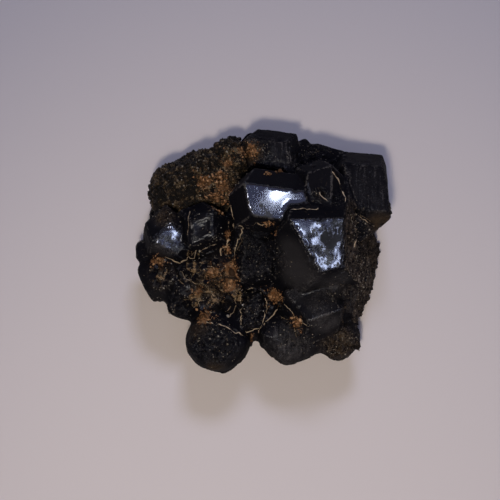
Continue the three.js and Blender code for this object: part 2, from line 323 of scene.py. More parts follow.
def shelter(solid, points, normals, lift=0.5, sight=8.0):
    """How much of each point's outlook is closed off by other parts of the solid within sight; the garnet
    material uses it for painted shade in recesses.
    """
    looks = [Vector(look).normalized() for look in product((-1, 0, 1), repeat=3) if any(look)]
    closed = np.zeros(len(points))
    total = np.zeros(len(points))
    for look in looks:
        share = normals @ np.array(look)
        for i in np.nonzero(share > 0.25)[0]:
            total[i] += share[i]
            if solid.tree.ray_cast(points[i] + normals[i] * lift, look, sight)[0]:
                closed[i] += share[i]
    return closed / np.maximum(total, 0.1)


def placed(name, data):
    """A new object in the scene that holds a mesh, a light or a camera."""
    holder = bpy.data.objects.new(name, data)
    bpy.context.scene.collection.objects.link(holder)
    return holder


def with_modifier(mesh, kind, **settings):
    """The mesh after one modifier, as a new mesh."""
    carrier = placed("carrier", mesh)
    modifier = carrier.modifiers.new(kind, kind)
    for name, value in settings.items():
        setattr(modifier, name, value)
    graph = bpy.context.evaluated_depsgraph_get()
    graph.update()
    result = bpy.data.meshes.new_from_object(carrier.evaluated_get(graph))
    bpy.data.objects.remove(carrier)
    return result


def rows(listed, name, width, kind=float):
    """Rows of numbers, one for each entry in one of a mesh's lists."""
    flat = np.empty(len(listed) * width, kind)
    listed.foreach_get(name, flat)
    return flat.reshape(-1, width)


def points_of(mesh):
    """The mesh's points in millimetres."""
    return rows(mesh.vertices, "co", 3) / MM


def set_points(mesh, points):
    """Moves the mesh's points to places given in millimetres."""
    mesh.vertices.foreach_set("co", (points * MM).ravel())
    mesh.update()


def normals_of(mesh):
    """The mesh's normals, one for each point."""
    return rows(mesh.vertex_normals, "vector", 3)


def edges_of(mesh):
    """Pairs of point numbers, one for each edge."""
    return rows(mesh.edges, "vertices", 2, np.int64)


def relax(points, edges, share, rounds):
    """Moves each point towards the mean of its neighbours by its own share, several times over."""
    ends = np.concatenate([edges[:, 0], edges[:, 1]])
    others = np.concatenate([edges[:, 1], edges[:, 0]])
    count = np.bincount(ends, minlength=len(points))[:, None]
    for _ in range(rounds):
        total = np.stack([np.bincount(ends, points[others, axis], len(points)) for axis in range(3)], 1)
        points = points + (total / count - points) * share[:, None]
    return points


def within_box(points, node, room=0.12):
    """Keeps points on or above the foot and inside the box of their solid, grown by a little room."""
    low, high = (np.array(corner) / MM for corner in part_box(node))
    lowest, highest = low - room, high + room
    lowest[2] = 0
    return np.clip(points, lowest, highest)


def dense_skin(node, voxel):
    """An even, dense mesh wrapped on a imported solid, with its points put back on its faces and edges."""
    solid = Solid(node)
    source = bpy.data.meshes.new(node + "_source")
    solid_copy = solid.bm.copy()
    bmesh.ops.scale(solid_copy, vec=(MM,) * 3, verts=solid_copy.verts)
    solid_copy.to_mesh(source)
    solid_copy.free()
    mesh = with_modifier(source, "REMESH", mode="VOXEL", voxel_size=voxel * MM)
    points, _, _ = solid.nearest(points_of(mesh))
    for tree in (solid.sunk, solid.proud):
        places, away = solid.to_crease(points, tree)
        close = away < voxel * 0.55
        points[close] = places[close]
    set_points(mesh, points)
    return solid, mesh


def displaced(mesh, node, points, height, triangles):
    """The mesh with its points moved out along their normals, all but those on the foot, and then thinned."""
    on_foot = points[:, 2] < FOOT
    points = points + normals_of(mesh) * np.where(on_foot, 0, height)[:, None]
    points[on_foot, 2] = 0
    set_points(mesh, within_box(points, node))
    return thinned(mesh, triangles)


def put(mesh, **layers):
    """Stores numbers for each point, for materials to read."""
    for name, values in layers.items():
        layer = mesh.attributes.new(name, "FLOAT", "POINT")
        layer.data.foreach_set("value", np.asarray(values, np.float32))


def finished(mesh, name, material, node=None):
    """Makes the mesh a smooth, named piece with its material, riding with the cluster."""
    mesh.name = name
    mesh.materials.clear()
    mesh.materials.append(material)
    mesh.shade_smooth()
    piece = placed(name, mesh)
    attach(piece, BODY)
    if node:
        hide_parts(node)
    return piece


def thinned(mesh, triangles):
    """The mesh brought down to a number of triangles, with the flat parts thinned first."""
    bm = bmesh.new()
    bm.from_mesh(mesh)
    bmesh.ops.triangulate(bm, faces=bm.faces)
    bm.to_mesh(mesh)
    bm.free()
    return with_modifier(mesh, "DECIMATE", ratio=min(1, triangles / len(mesh.polygons)))


# ---- shader maths ----


class Wire:
    """A node's output that takes part in sums written out in Python."""

    def __init__(self, shader, socket):
        self.shader = shader
        self.socket = socket

    def sum(self, operation, *others):
        return self.shader.node("ShaderNodeMath", {"operation": operation}, dict(enumerate((self, *others))))

    def __add__(self, other):
        return self.sum("ADD", other)

    def __sub__(self, other):
        return self.sum("SUBTRACT", other)

    def __rsub__(self, other):
        return self.shader.node("ShaderNodeMath", {"operation": "SUBTRACT"}, {0: other, 1: self})

    def __mul__(self, other):
        return self.sum("MULTIPLY", other)

    __radd__ = __add__

    def swing(self, amount):
        """Noise from 0 to 1 as a swing either way round 0."""
        return (self - 0.5) * amount

    def ramp(self, low, high):
        """0 below low, 1 above high, with soft ends."""
        settings = {"interpolation_type": "SMOOTHSTEP"}
        return self.shader.node("ShaderNodeMapRange", settings, {0: self, 1: low, 2: high, 3: 0.0, 4: 1.0})

    def clamp(self):
        return self.shader.node("ShaderNodeClamp", {}, {0: self})


class Shader:
    """A material whose nodes are added one expression at a time."""

    def __init__(self, name):
        self.material = bpy.data.materials.new(name)
        self.material.use_nodes = True
        self.tree = self.material.node_tree
        self.tree.nodes.clear()

    def node(self, kind, settings, sockets, output=0):
        """Adds a node: its settings first, then its sockets' values or links."""
        node = self.tree.nodes.new(kind)
        for name, value in settings.items():
            if name == "stops":
                ramp = node.color_ramp
                while len(ramp.elements) < len(value):
                    ramp.elements.new(0.5)
                for element, (position, colour) in zip(ramp.elements, value):
                    element.position = position
                    element.color = (*colour, 1)
            else:
                setattr(node, name, value)
        for name, value in sockets.items():
            if isinstance(value, Wire):
                self.tree.links.new(value.socket, node.inputs[name])
            else:
                tinted = isinstance(node.inputs[name], bpy.types.NodeSocketColor)
                node.inputs[name].default_value = (*value[:3], 1) if tinted else value
        return Wire(self, node.outputs[output])

    def place(self, stretch=(1, 1, 1)):
        """The place on the object in metres, stretched along its axes."""
        where = self.node("ShaderNodeTexCoord", {}, {}, "Object")
        if stretch == (1, 1, 1):
            return where
        return self.node("ShaderNodeVectorMath", {"operation": "MULTIPLY"}, {0: where, 1: stretch})

    def noise(self, size, detail=3.0, roughness=0.55, stretch=(1, 1, 1)):
        """Cloudy noise from 0 to 1 with features of a size in millimetres."""
        sockets = {"Vector": self.place(stretch), "Scale": 1 / (size * MM)}
        sockets.update({"Detail": detail, "Roughness": roughness})
        return self.node("ShaderNodeTexNoise", {}, sockets)

    def grain(self, size):
        """Cell noise with cells of a size in millimetres."""
        sockets = {"Vector": self.place(), "Scale": 1 / (size * MM)}
        return self.node("ShaderNodeTexVoronoi", {}, sockets, "Distance")

    def read(self, name):
        """A number stored on the mesh."""
        return self.node("ShaderNodeAttribute", {"attribute_name": name}, {}, "Fac")

    def blend(self, share, low, high):
        """A colour between two colours."""
        settings = {"data_type": "RGBA", "clamp_factor": True}
        return self.node("ShaderNodeMix", settings, {0: share, 6: low, 7: high}, 2)

    def bump(self, height, distance, strength):
        """A surface normal from a height, with the depth of full relief in millimetres."""
        sockets = {"Height": height, "Distance": distance * MM, "Strength": strength}
        return self.node("ShaderNodeBump", {}, sockets)

    def facing(self):
        """0 where the surface faces the eye and 1 where it turns away."""
        return self.node("ShaderNodeLayerWeight", {}, {"Blend": 0.5}, "Facing")

    def surface(self, sockets, share=None, matte=None):
        """Ends the material with one principled shader, or with a mix of two."""
        shader = self.node("ShaderNodeBsdfPrincipled", {}, sockets)
        if matte:
            other = self.node("ShaderNodeBsdfPrincipled", {}, matte)
            shader = self.node("ShaderNodeMixShader", {}, {0: share, 1: shader, 2: other})
        output = self.tree.nodes.new("ShaderNodeOutputMaterial")
        self.tree.links.new(shader.socket, output.inputs["Surface"])
        return self.material


# ---- settings ----


def colour(name, description, default):
    """A setting for the colour of something."""
    settings = {"subtype": "COLOR", "min": 0, "max": 1}
    return FloatVectorProperty(name=name, description=description, default=default, **settings)


def amount(name, description, default, low, high):
    """A setting between two limits."""
    return FloatProperty(name=name, description=description, default=default, min=low, max=high)


def power(name, description, default):
    """A setting for a light's power."""
    return FloatProperty(name=name, description=description, default=default, min=0, unit="POWER")


def most(description, default):
    """A setting for how many triangles a piece may have."""
    return IntProperty(name="Triangles", description=description, default=default, min=1000)


class GarnetSettings(bpy.types.PropertyGroup):
    body: colour("Garnet", "A clean crystal face", (0.0034, 0.0034, 0.0056))
    sheen: colour("Sheen", "Bluish reflection of the brightest faces", (0.13, 0.14, 0.18))
    film: colour("Film", "The thin film on dull faces", (0.041, 0.039, 0.045))
    brown: colour("Brown film", "The film where it is warm", (0.052, 0.035, 0.022))
    earth: colour("Earth", "The rusty earth in the grooves", (0.20, 0.09, 0.038))
    gloss: amount("Roughness", "Roughness of a clean face", 0.15, 0, 1)
    voxel: amount("Mesh step", "Step of the dense mesh", 0.30, 0.1, 1)
    triangles: most("Most that the crystals may have", 198000)


class RockSettings(bpy.types.PropertyGroup):
    dark: colour("Dark grain", "The rock's dark grains", (0.0075, 0.0065, 0.0055))
    brown: colour("Brown grain", "The rock's brown grains", (0.034, 0.022, 0.013))
    light: colour("Light grain", "The rock's palest grains", (0.20, 0.15, 0.095))
    grain: amount("Grain", "Width of a grain", 0.75, 0.2, 4)
    triangles: most("Most that the rock may have", 130000)


class EarthSettings(bpy.types.PropertyGroup):
    dark: colour("Damp earth", "The darkest crumbs", (0.055, 0.028, 0.013))
    ochre: colour("Ochre", "The crumbs of earth", (0.26, 0.125, 0.058))
    cream: colour("Cream", "The palest crumbs", (0.60, 0.38, 0.22))
    seam: colour("Seam", "The thin pale seams", (0.34, 0.25, 0.17))
    crumb: amount("Crumb", "Width of a crumb of earth", 0.23, 0.1, 1)
    speck: amount("Speck", "Width of a pale speck", 0.16, 0.05, 1)


class StageSettings(bpy.types.PropertyGroup):
    floor: colour("Floor", "The surface that it lies on", (0.645, 0.60, 0.64))
    distance: FloatProperty(name="Camera distance", description="From the aim to the camera", default=0.23,
                            min=0.05, subtype="DISTANCE", unit="LENGTH")
    elevation: FloatProperty(name="Camera elevation", description="Angle above the floor",
                             default=math.radians(80), subtype="ANGLE", unit="ROTATION")
    key: power("Key light", "Power of the main light", 1.68)
    fill: power("Fill light", "Power of the cool light behind", 2.35)
    window: power("Window", "Power of one window pane", 0.0018)
    panel: power("Panel", "Power of the panel at the right", 0.034)
    sky: power("Sky", "Power of the large dim panel", 0.20)


# ---- pieces ----


def flank_share(ideal, points):
    """How much each point belongs to the broken flank."""
    facing = smooth((ideal @ np.array(FLANK_FACING) - 0.80) / 0.12)
    return facing * smooth((points[:, 0] - 13.5) / 1.5) * smooth((9.0 - points[:, 1]) / 2.0)


def garnet_relief(solid, seams, points):
    """How far the crystals' surface stands out from their ideal faces, in millimetres."""
    _, ideal, tag = solid.nearest(points)
    _, rim = solid.to_crease(points, solid.proud)
    _, groove = solid.to_crease(points, solid.sunk)
    _, seam = solid.to_crease(points, seams)
    rough = near(points, GRANULAR)
    pitted = near(points, PITTED)
    striated = near(points, STRIATED)
    shiny = near(points, SHINY)
    flank = flank_share(ideal, points)
    middle, beside, _, slab = cells(points, 1.9, 3)
    wall = np.exp(-(((beside - middle) / 0.26) ** 2))
    chip_face = cells(points, 0.55, 15)[3]
    flat = near(points, FLAT, 0.2)
    height = 0.034 * wander(points, 2.2, 1, 2) * (1 + 1.0 * near(points, ETCHED, 0.9)) * (1 - flat)
    waves = shiny * (1 - flat) * (1 - 0.5 * near(points, POLISHED, 0.8))
    height += 0.026 * waves * wander(points * (1, 0.55, 1), 0.9, 19, 2)
    # A growth step runs round some faces a little way in from their edges.
    step_in = 0.6 + 1.2 * tag + 0.35 * wander(points, 1.2, 2, 2)
    stepped = (np.mod(tag * 7.3, 1) > 0.5) * 0.07 * (1 - shiny)
    height += stepped * (smooth((rim - step_in) / 0.3) - 0.5)
    nested = near(points, NESTED, 0.6)
    height -= nested * (0.16 * smooth((rim - 0.75) / 0.2) + 0.22 * smooth((rim - 1.6) / 0.2))
    # Small crystals and crumbly spots.
    height += rough * (0.36 * wall - 0.50 * smooth((0.95 - middle) / 0.6) + 0.30 * slab + 0.36 * chip_face)
    fine, _, pick, _ = cells(points, 0.85, 5)
    hollows = smooth((0.44 - fine) / 0.2) * (pick > 0.4)
    height += pitted * (0.12 * wander(points, 0.9, 6, 2) + 0.36 * chip_face + 0.36 * slab - 0.40 * hollows)
    height -= 0.10 * smooth((0.34 - fine) / 0.15) * (pick > 0.86) * (1 - shiny)
    lines = wander(points * (1, 0.14, 0.5), 0.55, 7, 2)
    height += striated * (0.05 * lines + 0.05 * chip_face)
    # The broken flank is hackly, with ridges that run down its length.
    ridges = wander(points * (0.8, 0.30, 0.8), 1.3, 8, 2)
    streaks = wander(points * (1, 0.22, 0.8), 0.50, 18, 2)
    splinter = cells(points * (1, 0.45, 1), 0.9, 9)[3]
    height += flank * (0.18 * ridges + 0.15 * streaks + 0.50 * splinter + 0.26 * chip_face)
    # Chips along the edges, and dirt that fills the bottoms of the grooves.
    chip = smooth((wander(points, 0.9, 10, 2) - 0.30) / 0.4) * smooth((0.6 - rim) / 0.5)
    height -= 0.18 * chip * (1 - rough)
    height += 0.10 * np.exp(-groove / 0.25) * (1 + wander(points, 0.5, 11))
    # The seams lie in shallow furrows.
    height += 0.06 * np.exp(-(((seam - 0.62) / 0.30) ** 2)) - 0.26 * np.exp(-((seam / 0.30) ** 2))
    # Faces low down are duller and less even.
    low = smooth((9.0 - points[:, 2]) / 6.0)
    dent = cells(points, 2.1, 12)[3]
    height += low * (0.10 * wander(points, 1.3, 13, 3) + 0.30 * dent + 0.14 * chip_face)
    return height


def garnet_mesh(settings):
    """The crystals as one dense mesh with worn, pitted, stepped and broken surfaces."""
    solid, mesh = dense_skin(GARNET, settings.voxel)
    points = points_of(mesh)
    edges = edges_of(mesh)
    _, rim = solid.to_crease(points, solid.proud)
    points = relax(points, edges, 0.55 * near(points, WORN, 0.5), 34)
    points = relax(points, edges, 0.60 * near(points, BLUNT, 0.5), 60)
    rounding = 0.35 * smooth((0.30 - rim) / 0.30) + 0.03
    points = relax(points, edges, rounding, 1)
    set_points(mesh, points)
    height = garnet_relief(solid, seam_tree(solid), points)
    mesh = displaced(mesh, GARNET, points, height, settings.triangles)
    points = points_of(mesh)
    _, ideal, tag = solid.nearest(points)
    _, rim = solid.to_crease(points, solid.proud)
    _, groove = solid.to_crease(points, solid.sunk)
    flank = flank_share(ideal, points)
    low = smooth((8.0 - points[:, 2]) / 7.0)
    pitted = near(points, PITTED)
    middle, beside, _, _ = cells(points, 1.9, 3)
    walls = np.exp(-(((beside - middle) / 0.14) ** 2)) * smooth(wander(points, 1.3, 24) / 0.5 + 0.5)
    film = np.zeros(len(points))
    for x, y, z, reach, strength in FILM:
        film = np.maximum(film, strength * near(points, [(x, y, z, reach)], 0.7))
    put(
        mesh,
        face=tag,
        rim=np.exp(-rim / 0.22),
        groove=np.exp(-groove / 0.45),
        film=np.maximum.reduce([film, 0.85 * flank, 0.22 * low]),
        brown=np.maximum(near(points, BROWN, 0.7), 0.65 * flank),
        dull=np.maximum.reduce([near(points, GRANULAR), flank, 0.45 * pitted, 0.5 * low]),
        pit=pitted,
        striae=np.maximum(near(points, STRIATED), flank),
        shine=near(points, SHINY, 0.35) * smooth((ideal[:, 2] - 0.87) / 0.05),
        etch=near(points, ETCHED, 0.8),
        polish=near(points, POLISHED, 0.8),
        flat=near(points, FLAT, 0.2),
        wall=walls * near(points, GRANULAR, 0.6),
        earth=near(points, EARTH, 1.0),
        shelter=shelter(solid, points, normals_of(mesh)),
    )
    return mesh


# Colours of crust, dust and wear on the garnets: where two stand together, the second is the warm one.
CRUSTS = (0.15, 0.135, 0.12), (0.17, 0.125, 0.088)
DUST = (0.13, 0.105, 0.085)
GRIT = (0.26, 0.22, 0.18)
NET = (0.14, 0.085, 0.048), (0.38, 0.27, 0.16)
STREAKS = (0.15, 0.14, 0.15), (0.22, 0.18, 0.145)
WORN_EDGE = (0.13, 0.12, 0.12)
PALE_EARTH = (0.30, 0.19, 0.11)
LAYERS = "face rim groove film brown dull striae shine etch earth pit wall polish flat"


def garnet_material(settings):
    """Near-black garnet with glossy faces, dull film on others and rusty earth in the grooves."""
    shader = Shader("garnet_faces")
    (face, rim, groove, film, brown, dull, striae,
     shine, etch, earth, pit, wall, polish, flat) = map(shader.read, LAYERS.split())
    cloud = shader.noise(2.2, 4.0)
    fine = shader.noise(0.30, 4.0, 0.65)
    patches = shader.noise(0.9, 5.0, 0.65)
    lines = shader.noise(0.45, 3.0, 0.6, (1, 0.12, 0.5))
    dirt = (earth * 1.5 + groove * 0.40 + patches * 1.0 + brown * 0.20 - 1.25).ramp(0.0, 0.40)
    grit = shader.noise(0.17, 3.0, 0.7)
    # A thin film: even on smooth faces, broken up on dull ones, and a pale crust in places.
    spread = cloud.swing(2.0) + fine.swing(2.4) + patches.swing(1.8) + lines.swing(striae) * 3.0
    even = film * (spread * (1 - flat * 0.8) + 0.78)
    uneven = film * 0.9 + lines.swing(striae) * 2.0 + fine.swing(3.0)
    uneven = (uneven + patches.swing(2.2) + grit.swing(1.8) - 0.44).ramp(0.0, 0.5)
    veil = (even.clamp() * (1 - dull) + uneven * film.ramp(0.0, 0.3) * dull * 1.2).clamp()
    warm = shader.blend(brown, settings.film, settings.brown)
    tan = shader.blend(brown, *CRUSTS)
    crust = shader.blend((grit + patches * 0.7 - 0.88).ramp(0.0, 0.30) * dull, warm, tan)
    tint = shader.blend(veil, settings.body, crust)
    # Dust, pale grit and the brown net between the small crystals.
    dusty = (patches * fine * 2.6 + brown * 0.12 + pit * 0.06 + groove * 0.15 - 1.00).ramp(0.0, 0.20) * 0.6
    tint = shader.blend(dusty, tint, DUST)
    sprinkled = (grit + fine * 0.4 + (pit + dull) * 0.07 - 1.00).ramp(0.0, 0.08)
    tint = shader.blend(sprinkled * 0.9, tint, GRIT)
    netted = (wall * 1.3 + fine.swing(2.4) + grit.swing(2.0) - 0.55).ramp(0.0, 0.5)
    tint = shader.blend(netted * 0.9, tint, shader.blend(grit.ramp(0.4, 0.65), *NET))
    # Scratched lines, worn edges and earth.
    streaks = (lines * 1.5 + fine * 0.9 + grit * 0.6 - 1.62).ramp(0.0, 0.25) * striae
    tint = shader.blend(streaks * (0.30 + dull * 0.6), tint, shader.blend(brown, *STREAKS))
    worn = (rim * 0.9 + fine.swing(1.8) + patches.swing(1.6) - 0.62).ramp(0.0, 0.3) * (1 - shine * 0.6)
    tint = shader.blend(worn * 0.42, tint, WORN_EDGE)
    pale = shader.blend(patches.ramp(0.42, 0.62), settings.earth, PALE_EARTH)
    tint = shader.blend(dirt * (0.35 + fine * 0.8), tint, pale)
    # The bright parts of the faces that mirror the light.
    streaky = shader.noise(0.8, 5.0, 0.65, (1, 0.5, 1))
    mottle = cloud.swing(0.9) + streaky.swing(3.4) + fine.swing(1.6)
    calm = flat * 0.65
    etched = etch * (1 - polish) * (0.50 - flat * 0.20)
    shown = shine * 1.05 + mottle * (1 - calm) * 1.35 + polish * 0.50 - etched - 0.90 + flat * 0.40
    bright = shown.ramp(0.0, 0.34) * (1 - dirt)
    tint = shader.blend(bright, tint, settings.sheen)
    rough = settings.gloss + face * 0.08 + dull * 0.14 + veil * 0.22 + dirt * 0.5 + etch * 0.25
    rough = (rough + fine.swing(0.14) * (1 - calm) + rim * 0.04) * (1 - bright * (0.50 + flat * 0.25))
    relief = fine * (0.22 + dull * 1.1 + dirt * 1.4 + pit * 1.2 + veil * 0.5)
    relief = relief + patches * (0.35 + dull * 1.1 + etch * 0.5 + pit * 0.7) + lines * striae * 1.4
    relief = relief + shader.grain(0.42) * (dull + pit) * 1.5
    normal = shader.bump(relief * (1 - shine * (0.90 + flat * 0.10)), 0.12, 0.75)
    # Painted shade: sheltered parts and parts steep to the eye turn matte and lose their reflection, so they
    # read dark; dull film adds real dullness.
    painted_shade_and_grime = dull * 0.22 + shader.read("shelter") * 1.3
    painted_shade_and_grime = painted_shade_and_grime + shader.facing().ramp(0.04, 0.34) * (1.1 - pit * 0.5) + patches.swing(0.9)
    return shader.surface({
        "Base Color": tint,
        "Metallic": bright * 0.9,
        "Roughness": rough.clamp(),
        "IOR": 1.60,
        "Normal": normal,
    }, (painted_shade_and_grime * (1 - bright)).clamp(), {
        "Base Color": tint,
        "Roughness": 0.75,
        "Specular IOR Level": 0.12,
        "Normal": normal,
    })


def rock_mesh(settings):
    """The rock as a crust of rounded and angular grains."""
    _, mesh = dense_skin(ROCK, 0.22)
    points = points_of(mesh)
    points = relax(points, edges_of(mesh), np.full(len(points), 0.4), 5)
    set_points(mesh, points)
    first, second, tag, slab = cells(points, settings.grain * 1.5, 21)
    chip_face = cells(points, settings.grain * 0.62, 22)[3]
    height = 0.42 * slab + 0.26 * chip_face + 0.20 * smooth((second - first) / 0.3) + 0.26 * (tag - 0.5)
    height += 0.10 * wander(points, 0.45, 23, 2)
    height += 0.35 * wander(points, 3.6, 24, 2) - 0.2
    mesh = displaced(mesh, ROCK, points, height, settings.triangles)
    points = points_of(mesh)
    first, second, tag, _ = cells(points, settings.grain * 1.5, 21)
    fine_tag = cells(points, settings.grain * 0.62, 22)[2]
    joint = smooth(1 - (second - first) / 0.22)
    put(mesh, grain_tag=tag, fine_tag=fine_tag, joint=joint, earth=near(points, ROCK_EARTH, 0.9))
    return mesh


def rock_material(settings, earth):
    """Dark granular rock with brown and pale grains and streaks of rusty earth."""
    shader = Shader("granular_rock")
    tag, fine_tag = shader.read("grain_tag"), shader.read("fine_tag")
    joint, rusty = shader.read("joint"), shader.read("earth")
    fine = shader.noise(0.24, 5.0, 0.75)
    cloud = shader.noise(2.6, 3.0)
    brown = (tag * 0.5 + fine_tag * 0.6 + cloud * 0.6 + fine * 1.6 + rusty * 0.35 - 1.62).ramp(0.0, 0.3)
    tint = shader.blend(brown, settings.dark, settings.brown)
    pale = (fine_tag * 0.5 + fine * 2.4 + tag * 0.3 + rusty * 0.30 - 1.85).ramp(0.0, 0.2)
    tint = shader.blend(pale, tint, settings.light)
    rust = (rusty * 0.9 + joint * 0.2 + cloud * 1.0 + fine * 1.2 - 1.74).ramp(0.0, 0.3)
    streak = shader.blend(fine_tag, earth.dark, earth.ochre)
    tint = shader.blend(rust * 0.85, tint, streak)
    rough = (0.30 + fine_tag * 0.3 + rust * 0.3 + fine * 0.15).clamp()
    relief = fine + shader.noise(0.12, 2.0) * 0.4
    return shader.surface({
        "Base Color": tint,
        "Roughness": rough,
        "Specular IOR Level": 0.30,
        "Normal": shader.bump(relief, 0.16, 0.9),
    })


def emptied(bm):
    """The corners and triangles of a bmesh, which is freed."""
    shape = np.array([vert.co for vert in bm.verts])
    faces = np.array([[vert.index for vert in face.verts] for face in bm.faces])
    bm.free()
    return shape, faces


def lump(random):
    """The corners and triangles of a small angular grain about one unit across."""
    bm = bmesh.new()
    bmesh.ops.create_icosphere(bm, subdivisions=1, radius=0.5)
    shape, faces = emptied(bm)
    shape *= 1 + random.uniform(-0.28, 0.22, (len(shape), 1))
    return shape * random.uniform(0.7, 1.25, 3), faces


def dodecahedron(random):
    """The corners and triangles of a small rhombic dodecahedron about one unit across."""
    bm = bmesh.new()
    for corner in product((-0.25, 0.25), repeat=3):
        bm.verts.new(corner)
    for axis, side in product(range(3), (-0.5, 0.5)):
        bm.verts.new([side if i == axis else 0 for i in range(3)])
    bmesh.ops.convex_hull(bm, input=bm.verts)
    bmesh.ops.triangulate(bm, faces=bm.faces)
    bm.verts.index_update()
    shape, faces = emptied(bm)
    return shape * random.uniform(0.85, 1.15, 3), faces


def turned(random):
    """A turn in any direction."""
    axis = Vector(random.normal(size=3)).normalized()
    return np.array(Matrix.Rotation(random.uniform(0, math.tau), 3, axis))


def inside(points):
    """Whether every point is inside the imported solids' box."""
    low, high = (np.array(corner) / MM for corner in CAD_BOX)
    return (points > low).all() and (points < high).all()


def joined(parts):
    """One mesh from many small ones, given in millimetres."""
    verts, faces, tags, start = [], [], [], 0
    for shape, triangles, tag in parts:
        verts.append(shape)
        faces.append(triangles + start)
        tags.append(np.full(len(shape), tag))
        start += len(shape)
    mesh = bpy.data.meshes.new("joined")
    mesh.from_pydata(np.concatenate(verts) * MM, [], np.concatenate(faces).tolist())
    put(mesh, tag=np.concatenate(tags))
    return mesh


def surface_tree():
    """A search tree of the crystals' and the rock's surfaces, in millimetres."""
    verts, polygons = [], []
    for name in ("garnet_surface", "rock_surface"):
        mesh = bpy.data.objects[name].data
        start = len(verts)
        verts.extend(vert.co / MM for vert in mesh.vertices)
        polygons.extend([start + i for i in polygon.vertices] for polygon in mesh.polygons)
    return BVHTree.FromPolygons(verts, polygons)


def scattered(tree, places, density, size, seed, make=lump, spread=0.38, proud=(-0.1, 0.35), gaps=-9.0):
    """Small grains set into the surface round each place, in clumps, more of them near its middle."""
    random = np.random.default_rng(seed)
    parts = []
    for x, y, z, reach in places:
        starts = np.array((x, y, z)) + random.normal(size=(int(density * reach * reach), 3)) * reach * spread
        starts = starts[wander(starts, 1.2, seed, 2) > gaps]
        for start in starts:
            place, normal, _, _ = tree.find_nearest(start)
            width = size * math.exp(random.normal() * 0.42)
            shape, faces = make(random)
            centre = np.array(place + normal * width * random.uniform(*proud))
            points = shape @ turned(random).T * width + centre
            close = (place - Vector((x, y, z))).length < reach * 1.3
            tag = random.uniform()
            if close and inside(points):
                parts.append((points, faces, tag))
    return parts


def curve_through(places, step):
    """Evenly spaced points on a smooth curve through the places."""
    ends = np.vstack([2 * places[0] - places[1], places, 2 * places[-1] - places[-2]])
    line = []
    for before, start, end, after in zip(ends, ends[1:], ends[2:], ends[3:]):
        count = max(2, int(np.linalg.norm(end - start) / step))
        for t in np.linspace(0, 1, count, endpoint=False):
            bend = 2 * before - 5 * start + 4 * end - after
            twist = 3 * start - before - 3 * end + after
            line.append(0.5 * (2 * start + (end - before) * t + bend * t**2 + twist * t**3))
    return np.array([*line, places[-1]])


def seam_lines(solid):
    """The runs of the seams, with small bends, and half the width of each."""
    runs = [(np.array(places, float), width) for width, places in SEAMS]
    for ends in solid.seams:
        share = near(ends.mean(axis=0)[None], SEAMED)[0]
        if share > 0.1 and np.linalg.norm(ends[1] - ends[0]) > 1.4:
            middle = ends.mean(axis=0)
            runs.append((np.array([ends[0], middle, ends[1]]), 0.04 + 0.035 * share))
    lines = []
    for number, (places, width) in enumerate(runs):
        shade = 0.5 + 0.5 * (number * 0.37 % 1) if number < len(SEAMS) else 0.4 * (number * 0.37 % 1)
        line = curve_through(places, 0.13)
        bends = np.stack([wander(line, 1.8, 40 + axis, 2) for axis in range(3)], 1)
        lines.append((line + 0.10 * bends, width, shade))
    return lines


def seam_tree(solid):
    """A search tree of points along all the seams, on the solid's faces."""
    places, _, _ = solid.nearest(np.concatenate([line for line, _, _ in seam_lines(solid)]))
    return search_tree(places)


SIDES = 6  # of a film's cross-section


def film(tree, line, half_width, shade):
    """A thin film in a seam: a flattened, uneven tube that thins out here and there."""
    for i, point in enumerate(line):
        line[i] = tree.find_nearest(point)[0]
    for _ in range(6):
        line[1:-1] = (line[:-2] + 2 * line[1:-1] + line[2:]) / 4
    normals = np.empty_like(line)
    for i, point in enumerate(line):
        place, normal, _, _ = tree.find_nearest(point)
        line[i] = point + np.array(normal) * (place - Vector(point)).dot(normal)
        normals[i] = normal
    for _ in range(3):
        normals[1:-1] = (normals[:-2] + 2 * normals[1:-1] + normals[2:]) / 4
    count = len(line)
    along = np.gradient(line, axis=0)
    along /= np.linalg.norm(along, axis=1)[:, None] + 1e-9
    across = np.cross(along, normals)
    across /= np.linalg.norm(across, axis=1)[:, None] + 1e-9
    swell = 0.72 + 0.40 * wander(line, 0.7, 90, 2)
    thick = np.maximum(half_width * swell * smooth((wander(line, 2.2, 140) + 0.62) / 0.25), 0.004)
    around = np.linspace(0, math.tau, SIDES, endpoint=False)
    rings = line[:, None] + thick[:, None, None] * (np.cos(around)[None, :, None] * across[:, None]
                                                    + 0.6 * np.sin(around)[None, :, None] * normals[:, None])
    verts = np.vstack([rings.reshape(-1, 3), line[:1], line[-1:]])
    faces = []
    for i, side in product(range(count - 1), range(SIDES)):
        a, b = i * SIDES + side, i * SIDES + (side + 1) % SIDES
        faces += [(a, b, b + SIDES), (a, b + SIDES, a + SIDES)]
    for side in range(SIDES):
        after = (side + 1) % SIDES
        faces.append((after, side, count * SIDES))
        faces.append(((count - 1) * SIDES + side, (count - 1) * SIDES + after, count * SIDES + 1))
    return verts, np.array(faces), shade


def crumb_material(name, stops, rough, relief=0.08):
    """Dry earth or grains that differ in colour from one crumb to the next."""
    shader = Shader(name)
    fine = shader.noise(0.22, 4.0, 0.7)
    place = (shader.read("tag") * 0.75 + fine * 0.6 - 0.18).clamp()
    tint = shader.node("ShaderNodeValToRGB", {"stops": stops}, {"Fac": place}, "Color")
    return shader.surface({
        "Base Color": tint,
        "Roughness": (rough + fine * 0.2).clamp(),
        "Normal": shader.bump(fine, relief, 0.7),
    })


class GARNET_OT_crystals(bpy.types.Operator):
    """Builds the surface of the intergrown garnets"""

    bl_idname = "garnet.crystals"
    bl_label = "Crystals"

    def execute(self, context):
        settings = context.scene.garnet_crystals
        mesh = garnet_mesh(settings)
        finished(mesh, "garnet_surface", garnet_material(settings), GARNET)
        return {"FINISHED"}


class GARNET_OT_rock(bpy.types.Operator):
    """Builds the surface of the rock the garnets grew on"""

    bl_idname = "garnet.rock"
    bl_label = "Rock"

    def execute(self, context):
        settings = context.scene.garnet_rock
        material = rock_material(settings, context.scene.garnet_earth)
        finished(rock_mesh(settings), "rock_surface", material, ROCK)
        return {"FINISHED"}


